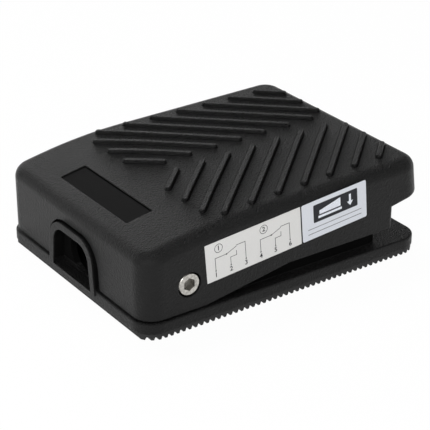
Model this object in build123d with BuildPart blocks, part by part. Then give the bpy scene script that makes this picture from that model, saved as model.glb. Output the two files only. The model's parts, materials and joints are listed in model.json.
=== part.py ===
from build123d import *
import os
from math import cos, radians, tan

# Industrial foot switch: a moulded pedal cover hinged near its heel on a low base tray with a
# ribbed rubber mat, two snap-action switches on a steel bracket inside, two return springs, and
# an arch-shaped cable entry at the heel.
# Frame: +X points to the toe, +Y to the left side, +Z up. The origin is under the middle of the
# base, on the surface that the mat stands on. All sizes are in millimetres.

os.makedirs("parts", exist_ok=True)

# Base tray
base_length = 145.0
base_width = 113.0
base_corner_radius = 9.5
plate_thickness = 4.7
plate_edge_round = 0.8
floor_thickness = 2.3

# Rubber mat under the tray
mat_thickness = 2.8
mat_inset = 0.4
ridge_pitch = 2.88
ridge_depth = 1.3
ridge_root = 1.9
ridge_tip = 1.0

# Pedal cover, outer form in side view
side_inset = 0.85
cover_wall = 2.6
cover_corner_radius = 9.0
cover_top_round = 5.5
heel_top_z = 37.0
heel_slope = 10.8
toe_top_z = 44.9
toe_slope = 0.6
knee_radius = 245.0
skirt_gap = 0.7
skirt_rise_setback = 29.65
skirt_rise_slope = 9.2
tab_z = 15.0
tab_corner_round = 2.5
lip_proud = 0.5
lip_lean = 2.2
lip_edge_z = 28.0
lip_root_z = 24.9
lip_depth = 16.5
lip_edge_round = 1.4

# Tread ribs on the cover, in two mirrored rows that point to the toe
rib_pitch = 13.33
rib_first_setback = 17.4
rib_shortest = 6.0
rib_angle = 43.6
rib_width = 2.4
rib_height = 1.4
rib_edge_bevel = 0.4
rib_inner_y = 5.1
rib_side_margin = 7.85
rib_outer_taper = 0.048
rib_heel_setback = 37.05
rib_toe_margin = 7.8

# Recess with a thin inlay on the heel of the cover
inlay_setback = 16.65
inlay_length = 12.6
inlay_width = 53.5
inlay_corner = 0.8
inlay_recess = 0.9
inlay_thickness = 0.5
inlay_play = 0.1

# Hinge: a socket-head screw on each side, turning in a flanged bush in the cover
hinge_setback = 21.45
hinge_z = 20.3
hinge_boss_radius = 8.5
hinge_boss_depth = 7.0
screw_radius = 3.0
screw_length = 16.0
screw_head_radius = 5.0
screw_head_height = 6.0
screw_head_sink = 0.25
screw_socket = 5.0
screw_socket_depth = 3.0
head_play = 0.5
bush_radius = 4.0
bush_flange_radius = 5.2
bush_flange = 1.0
running_play = 0.05
fit_play = 0.02
hole_play = 0.2
screw_end_bevel = 0.4
washer_radius = 6.0
washer_thickness = 0.8
washer_gap = 0.2
lug_thickness = 8.0
lug_width = 18.0
insert_radius = 4.2
insert_groove = 0.6

# Walls that stand on the tray, inside the cover
box_wall = 2.2
box_top_z = 24.0
box_side_gap = 1.6
box_toe_gap = 1.8
box_heel_gap = 2.25
box_neck_length = 34.65
box_neck_inset = 5.55
box_corner_radius = 6.0

# Cable entry: an arch-shaped collar that passes through the heel of the cover
collar_proud = 0.5
collar_wall = 3.2
arch_foot_half = 15.5
arch_top_half = 13.5
arch_top_z = 24.9
arch_corner_radius = 7.5
sill_z = 6.0
collar_gap = 2.1
collar_top_gap = 0.75
gland_inset = 5.5
gland_radius = 9.3
gland_z = 15.4

# Stops that hold the cover level at rest
stop_side_gap = 1.2
stop_width = 8.0
stop_depth = 1.6
stop_height = 14.0
stop_play = 0.15

# Return springs
spring_toe_gap = 18.5
spring_side_gap = 17.65
spring_radius = 6.0
spring_wire = 1.0
spring_turns = 6.0
spring_play = 0.1
seat_radius = 8.0
base_seat_z = 9.0
cover_seat_z = 34.5
pin_radius = 4.3
pin_height = 5.0
pin_taper = 4.0

# Snap-action switches, one each side of the bracket
switch_x = 0.0
switch_z = 15.3
switch_length = 27.8
switch_height = 15.9
switch_case_depth = 8.9
switch_lid = 1.4
switch_wall = 1.4
switch_hole_radius = 1.55
switch_hole_inset = 2.8
switch_hole_z = 2.9
switch_boss_radius = 2.7
switch_corner = 1.0
lid_bevel = 0.3
plunger_offset = 19.0
plunger_radius = 1.6
plunger_play = 0.08
plunger_top = 1.4
plunger_collar_radius = 2.4
plunger_collar = 0.8
plunger_collar_gap = 0.1
plunger_end_bevel = 0.5

# Lever of each switch, hinged at its toe end
lever_pivot_offset = 26.0
lever_pivot_z = 1.7
lever_width = 4.0
lever_thickness = 0.6
lever_slope = 5.1
lever_overhang = 8.0
lever_tip_round = 1.2
lever_eye_radius = 1.45
lever_pin_radius = 0.8
lever_side_play = 0.2
lever_plunger_gap = 0.2
ear_thickness = 1.0
ear_length = 3.2

# Contacts inside each switch
blade_thickness = 0.3
blade_width = 3.0
blade_z = 10.45
blade_gap = 0.15
blade_anchor_offset = 7.4
contact_offset = 24.5
contact_radius = 1.1
contact_height = 0.6
contact_rest_gap = 0.15
contact_travel = 1.15
blade_rivet = 0.3
strip_thickness = 0.6
strip_back_gap = 0.1
strip_arm = 1.6
leg_width = 2.4
tab_width = 4.8
tab_length = 7.0
tab_first_offset = 6.0
tab_step = 5.7

# Bracket between the switches, its feet and screws
bracket_thickness = 1.5
bracket_heel_reach = 16.0
bracket_toe_reach = 16.2
bracket_top_z = 30.0
bracket_web_z = 12.0
bracket_shoulder_z = 17.0
bracket_margin = 2.0
bracket_corner = 2.0
bracket_foot_length = 12.0
bracket_foot_width = 13.0
bracket_bend = 1.0
pad_z = 6.9
pad_radius = 5.5
bolt_radius = 1.5
bolt_head_radius = 2.75
bolt_head = 2.4
bolt_end = 0.6
bolt_socket = 2.5
bolt_socket_depth = 1.3
nut_flats = 5.5
nut_height = 2.4
foot_screw_radius = 1.9
foot_screw_head_radius = 3.6
foot_screw_head = 2.2
screw_end_play = 0.1
slot_width = 0.9
slot_depth = 0.8

# Adjusting screws in the cover that press the switch levers
actuator_tip_gap = 2.0
actuator_radius = 2.0
actuator_length = 6.0
actuator_gap = 0.3
actuator_nose_bevel = 0.6
actuator_boss_z = 39.2
actuator_boss_length = 9.0
actuator_boss_width = 20.0
lock_nut_flats = 7.0
lock_nut_height = 2.2

# Cable clamp behind the gland wall
clamp_setback = 10.6
clamp_length = 7.0
clamp_span = 32.0
clamp_height = 3.0
clamp_arch_radius = 4.5
clamp_post_radius = 4.0
clamp_post_z = 9.5
clamp_screw_y = 11.5
clamp_screw_radius = 1.75
clamp_screw_head_radius = 3.3
clamp_screw_head = 2.0

# Levels and planes worked out from the sizes above
plate_z = mat_thickness
deck_z = plate_z + plate_thickness
floor_z = plate_z + floor_thickness
cover_half = base_width / 2 - side_inset
cover_heel_x = -(base_length / 2 - side_inset)
cover_inner_half = cover_half - cover_wall
skirt_z = deck_z + skirt_gap
skirt_rise_x = cover_heel_x + skirt_rise_setback
lip_reach = base_length / 2 + lip_proud
lip_root_x = lip_reach - lip_depth
lip_top_x = lip_reach - lip_lean
tab_start_x = skirt_rise_x + (tab_z - skirt_z) / tan(radians(skirt_rise_slope))
switch_top_z = switch_z + switch_height
switch_end_x = switch_x + switch_length
hinge_x = cover_heel_x + hinge_setback
inlay_x = cover_heel_x + inlay_setback


def heel_line_z(x):
    """Height of the sloping heel plane of the cover at x."""
    return heel_top_z + (x - cover_heel_x) * tan(radians(heel_slope))


def toe_line_z(x):
    """Height of the long toe plane of the cover at x."""
    return toe_top_z + (x - lip_top_x) * tan(radians(toe_slope))


def knee_x():
    """Where the heel plane and the toe plane would meet."""
    rise = tan(radians(heel_slope)) - tan(radians(toe_slope))
    return cover_heel_x + (toe_line_z(cover_heel_x) - heel_top_z) / rise


def top_line(start_x, end_x, drop):
    """The cover's top in side view, lowered by drop: two straight runs and one wide arc."""
    knee = knee_x()
    return FilletPolyline(
        (start_x, heel_line_z(start_x) - drop),
        (knee, heel_line_z(knee) - drop),
        (end_x, toe_line_z(end_x) - drop),
        radius=knee_radius,
    )


def side_view(drop, start_x, end_x, lower_points):
    """A side view with the cover's top line, lowered by drop, and the given lower outline."""
    with BuildSketch(Plane.XZ) as outline:
        with BuildLine():
            top_line(start_x, end_x, drop)
            Polyline(
                (end_x, toe_line_z(end_x) - drop),
                *lower_points,
                (start_x, heel_line_z(start_x) - drop),
            )
        make_face()
    return outline.sketch


def top_layer(raise_by, drop_by):
    """Side view of a thin layer that follows the cover's top, from raise_by over it to drop_by under."""
    with BuildSketch(Plane.XZ) as layer:
        with BuildLine():
            top_line(cover_heel_x, lip_top_x, -raise_by)
            top_line(cover_heel_x, lip_top_x, drop_by)
            for x, line_z in ((cover_heel_x, heel_line_z), (lip_top_x, toe_line_z)):
                Line((x, line_z(x) + raise_by), (x, line_z(x) - drop_by))
        make_face()
    return layer.sketch


def top_rim_edges(part):
    """The outer edges of the cover's top, without the joints between its three faces."""
    top_faces = part.faces().filter_by(lambda face: face.normal_at().Z > 0.9)
    inner_joints = [
        edge for edge in top_faces.edges().filter_by(Axis.Y) if abs(edge.center().X) < lip_root_x - 5
    ]
    return ShapeList(edge for edge in top_faces.edges() if edge not in inner_joints)


def arch(plane, foot_half, top_half, foot_z, top_z, corner_radius):
    """A flat-topped arch with round shoulders, seen from the heel."""
    with BuildSketch(plane) as opening:
        with BuildLine():
            FilletPolyline(
                (foot_half, foot_z), (top_half, top_z), (-top_half, top_z), (-foot_half, foot_z),
                radius=corner_radius,
            )
            Line((-foot_half, foot_z), (foot_half, foot_z))
        make_face()
    return opening.sketch


def box_outline():
    """Plan of the walls that stand on the tray: a wide box with a narrower neck at the heel."""
    with Locations(((box_start_x + box_toe_x) / 2, 0)):
        box = Rectangle(box_toe_x - box_start_x, 2 * box_half)
    fillet(box.vertices().group_by(Axis.X)[-1], box_corner_radius)
    with Locations(((box_heel_x + box_start_x + box_wall) / 2, 0)):
        Rectangle(box_start_x + box_wall - box_heel_x, 2 * box_neck_half)


# Base tray: plate, standing walls, cable collar, hinge lugs, spring seats and screw pads
arch_outer_z = arch_top_z + collar_wall
collar_reach = base_length / 2 + collar_proud
lug_outer_y = cover_inner_half - hinge_boss_depth - washer_thickness - washer_gap
box_half = cover_inner_half - box_side_gap
box_neck_half = lug_outer_y - box_neck_inset
box_start_x = cover_heel_x + box_neck_length
box_toe_x = lip_root_x - cover_wall - box_toe_gap
box_heel_x = cover_heel_x + cover_wall + box_heel_gap
collar_depth = collar_reach + box_heel_x + box_wall
bracket_start_x = switch_x - bracket_heel_reach
bracket_end_x = switch_end_x + bracket_toe_reach
foot_y = (bracket_foot_width + bracket_thickness) / 2
foot_spots = (
    (bracket_start_x + bracket_foot_length / 2, foot_y),
    (bracket_end_x - bracket_foot_length / 2, -foot_y),
)
spring_x = lip_root_x - spring_toe_gap
spring_y = cover_half - spring_side_gap
spring_spots = ((spring_x, spring_y), (spring_x, -spring_y))
clamp_x = box_heel_x + box_wall + clamp_setback
clamp_spots = ((clamp_x, clamp_screw_y), (clamp_x, -clamp_screw_y))

with BuildPart() as base_frame:
    with BuildSketch(Plane.XY.offset(plate_z)):
        RectangleRounded(base_length, base_width, base_corner_radius)
    extrude(amount=plate_thickness)
    fillet(base_frame.edges().group_by(Axis.Z)[-1], plate_edge_round)

    with BuildSketch(Plane.XY.offset(floor_z)):
        box_outline()
        offset(amount=-box_wall, kind=Kind.INTERSECTION)
    extrude(amount=plate_thickness, mode=Mode.SUBTRACT)
    with BuildSketch(Plane.XY.offset(floor_z)):
        box_outline()
        offset(amount=-box_wall, kind=Kind.INTERSECTION, mode=Mode.SUBTRACT)
    extrude(amount=box_top_z - floor_z)

    collar_plane = Plane.YZ.offset(-collar_reach)
    collar_outside = arch(
        collar_plane, arch_foot_half + collar_wall, arch_top_half + collar_wall, floor_z,
        arch_outer_z, arch_corner_radius + collar_wall,
    )
    collar_inside = arch(
        collar_plane, arch_foot_half, arch_top_half, sill_z, arch_top_z, arch_corner_radius
    )
    extrude(collar_outside, amount=collar_depth)
    extrude(collar_inside, amount=gland_inset, mode=Mode.SUBTRACT)
    with Locations(Plane(origin=(-collar_reach, 0, gland_z), z_dir=(-1, 0, 0))):
        Hole(gland_radius, depth=collar_depth)

    for side in (1, -1):
        with BuildSketch(Plane.XZ.offset(-side * (lug_outer_y - lug_thickness / 2))):
            with BuildLine():
                Polyline(
                    (hinge_x - hinge_boss_radius, hinge_z),
                    (hinge_x - lug_width / 2, deck_z),
                    (hinge_x - lug_width / 2, floor_z),
                    (hinge_x + lug_width / 2, floor_z),
                    (hinge_x + lug_width / 2, deck_z),
                    (hinge_x + hinge_boss_radius, hinge_z),
                )
                ThreePointArc(
                    (hinge_x + hinge_boss_radius, hinge_z),
                    (hinge_x, hinge_z + hinge_boss_radius),
                    (hinge_x - hinge_boss_radius, hinge_z),
                )
            make_face()
        extrude(amount=lug_thickness / 2, both=True)
        with Locations(Plane(origin=(hinge_x, side * lug_outer_y, hinge_z), z_dir=(0, side, 0))):
            Hole(insert_radius, depth=lug_thickness)

    with BuildSketch(Plane.XY.offset(floor_z)):
        with Locations(*spring_spots):
            Circle(seat_radius)
    extrude(amount=base_seat_z - floor_z)
    with BuildSketch(Plane.XY.offset(base_seat_z)):
        with Locations(*spring_spots):
            Circle(pin_radius)
    extrude(amount=pin_height, taper=pin_taper)

    with BuildSketch(Plane.XY.offset(floor_z)):
        with Locations(*foot_spots):
            Circle(pad_radius)
    extrude(amount=pad_z - floor_z)
    with Locations(*[(x, y, pad_z) for x, y in foot_spots]):
        Hole(foot_screw_radius, depth=pad_z - floor_z + floor_thickness / 2)

    with BuildSketch(Plane.XY.offset(floor_z)):
        with Locations(*clamp_spots):
            Circle(clamp_post_radius)
    extrude(amount=clamp_post_z - floor_z)
    with Locations(*[(x, y, clamp_post_z) for x, y in clamp_spots]):
        Hole(clamp_screw_radius, depth=clamp_post_z - floor_z)

# Rubber mat: a flat sheet with ridges across its whole underside
mat_length = base_length - 2 * mat_inset
ridge_count = int(mat_length // ridge_pitch)
gap_half_root = (ridge_pitch - ridge_root) / 2
gap_half_tip = (ridge_pitch - ridge_tip) / 2

with BuildPart() as rubber_mat:
    with BuildSketch(Plane.XY):
        RectangleRounded(mat_length, base_width - 2 * mat_inset, base_corner_radius - mat_inset)
    extrude(amount=mat_thickness)
    with BuildSketch(Plane.XZ):
        with Locations(*[((i - ridge_count / 2) * ridge_pitch, 0) for i in range(ridge_count + 1)]):
            Polygon(
                (-gap_half_tip, 0), (-gap_half_root, ridge_depth),
                (gap_half_root, ridge_depth), (gap_half_tip, 0),
                align=None,
            )
    extrude(amount=base_width / 2, both=True, mode=Mode.SUBTRACT)

# The hollow inside the cover, behind the toe wall, and the smaller one in the toe lip
inner_radius = cover_corner_radius - cover_wall
inner_heel_x = cover_heel_x + cover_wall
inner_toe_x = lip_root_x - cover_wall

with BuildPart() as cover_hollow:
    hollow_view = side_view(
        cover_wall, inner_heel_x, inner_toe_x, [(inner_toe_x, 0), (inner_heel_x, 0)]
    )
    extrude(hollow_view, amount=cover_inner_half, both=True)
    fillet(cover_hollow.edges().filter_by(Axis.Z).group_by(Axis.X)[0], inner_radius)
    fillet(top_rim_edges(cover_hollow), cover_top_round - cover_wall)

with BuildPart() as lip_hollow:
    with BuildSketch(Plane.XZ):
        Polygon(
            (lip_root_x, 0),
            (lip_root_x, toe_line_z(lip_root_x) - cover_wall),
            (lip_top_x - cover_wall, toe_line_z(lip_top_x) - cover_wall),
            (lip_reach - cover_wall, lip_edge_z),
            (lip_reach - cover_wall, 0),
            align=None,
        )
    extrude(amount=cover_inner_half, both=True)
    lip_corners = lip_hollow.edges().filter_by(
        lambda e: abs(e.center().Y) > cover_inner_half - 0.01 and e.center().X > lip_top_x - cover_wall
    )
    fillet(lip_corners, inner_radius)

# Tread ribs: bars cut from a layer over the cover's top, in two mirrored rows
rib_run = tan(radians(90 - rib_angle))
rib_heel_x = cover_heel_x + rib_heel_setback
rib_toe_x = lip_reach - rib_toe_margin
rib_first_x = rib_heel_x + rib_first_setback
rib_outer_y = cover_half - rib_side_margin


def rib_ends(index):
    """The outer and inner end of one rib's middle line, as distances x and y on the left side."""
    crossing_x = rib_first_x + index * rib_pitch
    outer_y = (rib_outer_y - rib_outer_taper * crossing_x) / (1 - rib_outer_taper * rib_run)
    outer_x = crossing_x - outer_y * rib_run
    if outer_x < rib_heel_x:
        outer_x, outer_y = rib_heel_x, (crossing_x - rib_heel_x) / rib_run
    inner_x, inner_y = crossing_x - rib_inner_y * rib_run, rib_inner_y
    if inner_x > rib_toe_x:
        inner_x, inner_y = rib_toe_x, (crossing_x - rib_toe_x) / rib_run
    return (outer_x, outer_y), (inner_x, inner_y)


rib_lines = [rib_ends(0)]
while rib_ends(len(rib_lines))[0][0] < rib_toe_x - rib_shortest:
    rib_lines.append(rib_ends(len(rib_lines)))

with BuildPart() as tread_ribs:
    extrude(top_layer(rib_height, cover_wall / 2), amount=cover_half, both=True)
    with BuildSketch(Plane.XY):
        for (outer_x, outer_y), (inner_x, inner_y) in rib_lines:
            for side in (1, -1):
                outer_end, inner_end = Vector(outer_x, side * outer_y), Vector(inner_x, side * inner_y)
                middle = (outer_end + inner_end) * 0.5
                along = inner_end - outer_end
                with Locations((middle.X, middle.Y)):
                    SlotOverall(along.length + rib_width, rib_width, rotation=side * -rib_angle)
    extrude(amount=2 * toe_top_z, mode=Mode.INTERSECT)
    rib_tops = tread_ribs.faces().filter_by(lambda f: f.normal_at().Z > 0.9)
    chamfer(rib_tops.edges(), rib_edge_bevel)

# Recess for the inlay, and the inlay itself, both cut from layers that follow the top
with BuildPart() as inlay_pocket:
    extrude(top_layer(rib_height, inlay_recess), amount=cover_half, both=True)
    with BuildSketch(Plane.XY):
        with Locations((inlay_x, 0)):
            RectangleRounded(inlay_length, inlay_width, inlay_corner)
    extrude(amount=2 * toe_top_z, mode=Mode.INTERSECT)

with BuildPart() as inlay_plate:
    extrude(top_layer(inlay_thickness - inlay_recess, inlay_recess), amount=cover_half, both=True)
    with BuildSketch(Plane.XY):
        with Locations((inlay_x, 0)):
            RectangleRounded(
                inlay_length - 2 * inlay_play, inlay_width - 2 * inlay_play, inlay_corner - inlay_play
            )
    extrude(amount=2 * toe_top_z, mode=Mode.INTERSECT)

# Pedal cover: a hollow moulding with a toe lip that overhangs a recessed toe wall
boss_inner_y = cover_inner_half - hinge_boss_depth
head_outer_y = cover_half - screw_head_sink
head_inner_y = head_outer_y - screw_head_height
flange_inner_y = head_inner_y - running_play - bush_flange
switch_back_y = bracket_thickness / 2
switch_lid_y = switch_back_y + switch_case_depth
switch_outer_y = switch_lid_y + switch_lid
switch_mid_y = (switch_back_y + switch_outer_y) / 2
plunger_x = switch_x + plunger_offset
lever_pivot_x = switch_x + lever_pivot_offset
lever_tip_x = switch_x - lever_overhang
actuator_x = lever_tip_x + actuator_tip_gap
plunger_top_z = switch_top_z + plunger_top
lever_thickness_z = lever_thickness / cos(radians(lever_slope))


def lever_under_z(x):
    """Height of the underside of a lever at rest, at x."""
    return plunger_top_z + lever_plunger_gap + (plunger_x - x) * tan(radians(lever_slope))


def hinge_plane(side, y):
    """An upright plane across the hinge line, at distance y from the middle, facing outward."""
    return Plane(origin=(hinge_x, side * y, hinge_z), z_dir=(0, side, 0))


def side_plane(y):
    """The upright plane at distance y to the left of the middle."""
    return Plane.XZ.offset(-y)


actuator_tip_z = lever_under_z(actuator_x) + lever_thickness_z + actuator_gap
actuator_spots = ((actuator_x, switch_mid_y), (actuator_x, -switch_mid_y))

with BuildPart() as pedal_cover:
    cover_view = side_view(
        0, cover_heel_x, lip_top_x,
        [
            (lip_reach, lip_edge_z),
            (lip_root_x, lip_root_z),
            (lip_root_x, tab_z),
            (tab_start_x, tab_z),
            (skirt_rise_x, skirt_z),
            (cover_heel_x, skirt_z),
        ],
    )
    extrude(cover_view, amount=cover_half, both=True)
    side_edges = pedal_cover.edges().filter_by(lambda e: abs(e.center().Y) > cover_half - 0.01)
    end_corners = side_edges.filter_by(
        lambda e: e.center().X < cover_heel_x + 0.01 or e.center().X > lip_top_x
    )
    tab_corners = side_edges.filter_by(Axis.Z).filter_by(lambda e: 0 < e.center().X < lip_top_x)
    fillet(end_corners, cover_corner_radius)
    fillet(tab_corners, tab_corner_round)
    fillet(top_rim_edges(pedal_cover), cover_top_round)
    lip_edge = pedal_cover.edges().filter_by(Axis.Y).sort_by(Axis.X)[-1]
    fillet(lip_edge, lip_edge_round)
    add(cover_hollow.part, mode=Mode.SUBTRACT)
    add(lip_hollow.part, mode=Mode.SUBTRACT)

    for side in (1, -1):
        with BuildSketch(hinge_plane(side, boss_inner_y)):
            Circle(hinge_boss_radius)
        extrude(amount=hinge_boss_depth + cover_wall / 2)
        with Locations(hinge_plane(side, cover_half)):
            CounterBoreHole(
                bush_radius + fit_play, screw_head_radius + head_play,
                cover_half - flange_inner_y, depth=cover_half - boss_inner_y,
            )

    with BuildSketch(Plane.XY.offset(cover_seat_z)):
        with Locations(*spring_spots):
            Circle(seat_radius)
    extrude(amount=toe_line_z(spring_x) - cover_wall / 2 - cover_seat_z)
    with BuildSketch(Plane.XY.offset(cover_seat_z)):
        with Locations(*spring_spots):
            Circle(pin_radius)
    extrude(amount=-pin_height, taper=pin_taper)

    with BuildSketch(Plane.XY.offset(actuator_boss_z)):
        with Locations((actuator_x, 0)):
            Rectangle(actuator_boss_length, actuator_boss_width)
    extrude(amount=toe_line_z(actuator_x) - cover_wall / 2 - actuator_boss_z)
    with BuildSketch(Plane.XY.offset(actuator_boss_z)):
        with Locations(*actuator_spots):
            Circle(actuator_radius + fit_play)
    extrude(amount=actuator_tip_z + actuator_length + fit_play - actuator_boss_z, mode=Mode.SUBTRACT)

    stop_y = arch_foot_half + collar_wall + collar_gap + stop_side_gap + stop_width / 2
    with BuildSketch(Plane.XY.offset(deck_z + stop_play)):
        with Locations(*[(inner_heel_x + stop_depth / 2, side * stop_y) for side in (1, -1)]):
            Rectangle(stop_depth, stop_width)
    extrude(amount=stop_height)

    collar_opening = arch(
        collar_plane, arch_foot_half + collar_wall + collar_gap,
        arch_top_half + collar_wall + collar_gap, deck_z, arch_outer_z + collar_top_gap,
        arch_corner_radius + collar_wall + collar_gap,
    )
    extrude(collar_opening, amount=collar_depth, mode=Mode.SUBTRACT)

    add(tread_ribs.part)
    add(inlay_pocket.part, mode=Mode.SUBTRACT)

# Hinge hardware: screws, threaded inserts in the lugs, washers, and flanged bushes in the cover
lug_inner_y = lug_outer_y - lug_thickness

with BuildPart() as hinge_screws:
    for side in (1, -1):
        with BuildSketch(hinge_plane(side, head_inner_y)):
            Circle(screw_head_radius)
        extrude(amount=screw_head_height)
        with BuildSketch(hinge_plane(side, head_inner_y)):
            Circle(screw_radius)
        extrude(amount=-screw_length)
    ends = hinge_screws.edges().filter_by(GeomType.CIRCLE).sort_by(lambda e: abs(e.center().Y))
    chamfer(ends[:2] + ends[-2:], screw_end_bevel)
    for side in (1, -1):
        with BuildSketch(hinge_plane(side, head_outer_y)):
            RegularPolygon(screw_socket / 2, 6, major_radius=False)
        extrude(amount=-screw_socket_depth, mode=Mode.SUBTRACT)

with BuildPart() as hinge_inserts:
    for side in (1, -1):
        with BuildSketch(hinge_plane(side, lug_inner_y)):
            Circle(insert_radius - fit_play)
            Circle(screw_radius + fit_play, mode=Mode.SUBTRACT)
        extrude(amount=lug_thickness)
        for groove_y in (lug_inner_y + lug_thickness / 3, lug_inner_y + lug_thickness * 2 / 3):
            with BuildSketch(hinge_plane(side, groove_y - insert_groove / 2)):
                Circle(insert_radius)
                Circle(insert_radius - insert_groove, mode=Mode.SUBTRACT)
            extrude(amount=insert_groove, mode=Mode.SUBTRACT)

with BuildPart() as hinge_washers:
    for side in (1, -1):
        with BuildSketch(hinge_plane(side, lug_outer_y)):
            Circle(washer_radius)
            Circle(screw_radius + hole_play, mode=Mode.SUBTRACT)
        extrude(amount=washer_thickness)

with BuildPart() as hinge_bushes:
    for side in (1, -1):
        with BuildSketch(hinge_plane(side, flange_inner_y)):
            Circle(bush_flange_radius)
        extrude(amount=bush_flange)
        with BuildSketch(hinge_plane(side, boss_inner_y)):
            Circle(bush_radius)
        extrude(amount=flange_inner_y - boss_inner_y)
        with BuildSketch(hinge_plane(side, boss_inner_y)):
            Circle(screw_radius + running_play)
        extrude(amount=head_inner_y - boss_inner_y, mode=Mode.SUBTRACT)

# Snap-action switches: case, lid, plunger, lever, lever pin, terminals and contact blade.
# The left one is modelled, and the right one is its mirror image.
switch_middle = (switch_x + switch_length / 2, switch_z + switch_height / 2)
switch_holes = (
    (switch_x + switch_hole_inset, switch_z + switch_hole_z),
    (switch_end_x - switch_hole_inset, switch_z + switch_hole_z),
)
cavity_floor_z = switch_z + switch_wall
cavity_top_z = switch_top_z - switch_wall
cavity_back_y = switch_back_y + switch_wall
lever_axis_z = switch_top_z + lever_pivot_z
lever_start_y = switch_mid_y - lever_width / 2
ear_start_ys = (
    lever_start_y - lever_side_play - ear_thickness,
    lever_start_y + lever_width + lever_side_play,
)
pin_length = lever_width + 2 * (lever_side_play + ear_thickness)
tab_starts = [switch_x + tab_first_offset + index * tab_step for index in range(3)]

with BuildPart() as left_switch_case:
    with BuildSketch(side_plane(switch_back_y)):
        with Locations(switch_middle):
            RectangleRounded(switch_length, switch_height, switch_corner)
    extrude(amount=-switch_case_depth)
    with BuildSketch(side_plane(cavity_back_y)):
        with Locations(switch_middle):
            Rectangle(switch_length - 2 * switch_wall, switch_height - 2 * switch_wall)
    extrude(amount=-(switch_case_depth - switch_wall), mode=Mode.SUBTRACT)
    with BuildSketch(side_plane(switch_back_y)):
        with Locations(*switch_holes):
            Circle(switch_boss_radius)
    extrude(amount=-switch_case_depth)
    with BuildSketch(side_plane(switch_back_y)):
        with Locations(*switch_holes):
            Circle(switch_hole_radius)
    extrude(amount=-switch_case_depth, mode=Mode.SUBTRACT)
    with BuildSketch(Plane.XY.offset(cavity_top_z)):
        with Locations((plunger_x, switch_mid_y)):
            Circle(plunger_radius + plunger_play)
    extrude(amount=switch_wall, mode=Mode.SUBTRACT)
    with BuildSketch(Plane.XY.offset(switch_z)):
        with Locations(*[(start + tab_width / 2, switch_mid_y) for start in tab_starts]):
            Rectangle(tab_width + 2 * running_play, strip_thickness + 2 * running_play)
    extrude(amount=switch_wall, mode=Mode.SUBTRACT)
    for ear_y in ear_start_ys:
        with BuildSketch(side_plane(ear_y)):
            with Locations((lever_pivot_x, lever_axis_z)):
                Circle(ear_length / 2)
            with Locations((lever_pivot_x, switch_top_z + lever_pivot_z / 2)):
                Rectangle(ear_length, lever_pivot_z)
            with Locations((lever_pivot_x, lever_axis_z)):
                Circle(lever_pin_radius + fit_play, mode=Mode.SUBTRACT)
        extrude(amount=-ear_thickness)

with BuildPart() as left_switch_lid:
    with BuildSketch(side_plane(switch_lid_y)):
        with Locations(switch_middle):
            RectangleRounded(switch_length, switch_height, switch_corner)
        with Locations(*switch_holes):
            Circle(switch_hole_radius, mode=Mode.SUBTRACT)
    extrude(amount=-switch_lid)
    outer_rim = left_switch_lid.faces().sort_by(Axis.Y)[-1].outer_wire().edges()
    chamfer(outer_rim, lid_bevel)

blade_under_z = switch_z + blade_z
blade_top_z = blade_under_z + blade_thickness
blade_anchor_x = switch_x + blade_anchor_offset
contact_x = switch_x + contact_offset
plunger_foot_z = blade_top_z + blade_gap

with BuildPart() as left_plunger:
    with BuildSketch(Plane.XY.offset(plunger_foot_z)):
        with Locations((plunger_x, switch_mid_y)):
            Circle(plunger_radius)
    extrude(amount=plunger_top_z - plunger_foot_z)
    chamfer(left_plunger.edges().filter_by(GeomType.CIRCLE), plunger_end_bevel)
    with BuildSketch(Plane.XY.offset(cavity_top_z - plunger_collar_gap - plunger_collar)):
        with Locations((plunger_x, switch_mid_y)):
            Circle(plunger_collar_radius)
    extrude(amount=plunger_collar)

with BuildPart() as left_lever:
    with BuildSketch(side_plane(lever_start_y)):
        Polygon(
            (lever_tip_x, lever_under_z(lever_tip_x)),
            (lever_pivot_x, lever_under_z(lever_pivot_x)),
            (lever_pivot_x, lever_under_z(lever_pivot_x) + lever_thickness_z),
            (lever_tip_x, lever_under_z(lever_tip_x) + lever_thickness_z),
            align=None,
        )
        with Locations((lever_pivot_x, lever_axis_z)):
            Circle(lever_eye_radius)
            Circle(lever_pin_radius + running_play, mode=Mode.SUBTRACT)
    extrude(amount=-lever_width)
    tip_corners = left_lever.edges().filter_by(lambda e: e.center().X < lever_tip_x + 0.01)
    fillet(tip_corners.filter_by(lambda e: abs(e.center().Y - switch_mid_y) > 1), lever_tip_round)

with BuildPart() as left_lever_pin:
    with BuildSketch(side_plane(ear_start_ys[0])):
        with Locations((lever_pivot_x, lever_axis_z)):
            Circle(lever_pin_radius)
    extrude(amount=-pin_length)

# Terminals: common, normally closed and normally open, each a tab, a shelf, an upright strip
# on the back wall of the case, and a leg that reaches out to the contact blade
strip_y = cavity_back_y + strip_back_gap
strip_depth_y = (switch_mid_y + strip_thickness / 2) - strip_y
leg_depth_y = switch_mid_y + blade_width / 2 - strip_y
rest_contact_z = blade_top_z + blade_rivet + contact_rest_gap + contact_height
open_contact_z = blade_under_z - blade_rivet - contact_travel - contact_height
leg_plans = (
    (tab_starts[0], blade_anchor_x, blade_under_z - blade_gap - strip_thickness),
    (tab_starts[1], contact_x, rest_contact_z),
    (tab_starts[2], contact_x, open_contact_z - strip_thickness),
)

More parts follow.
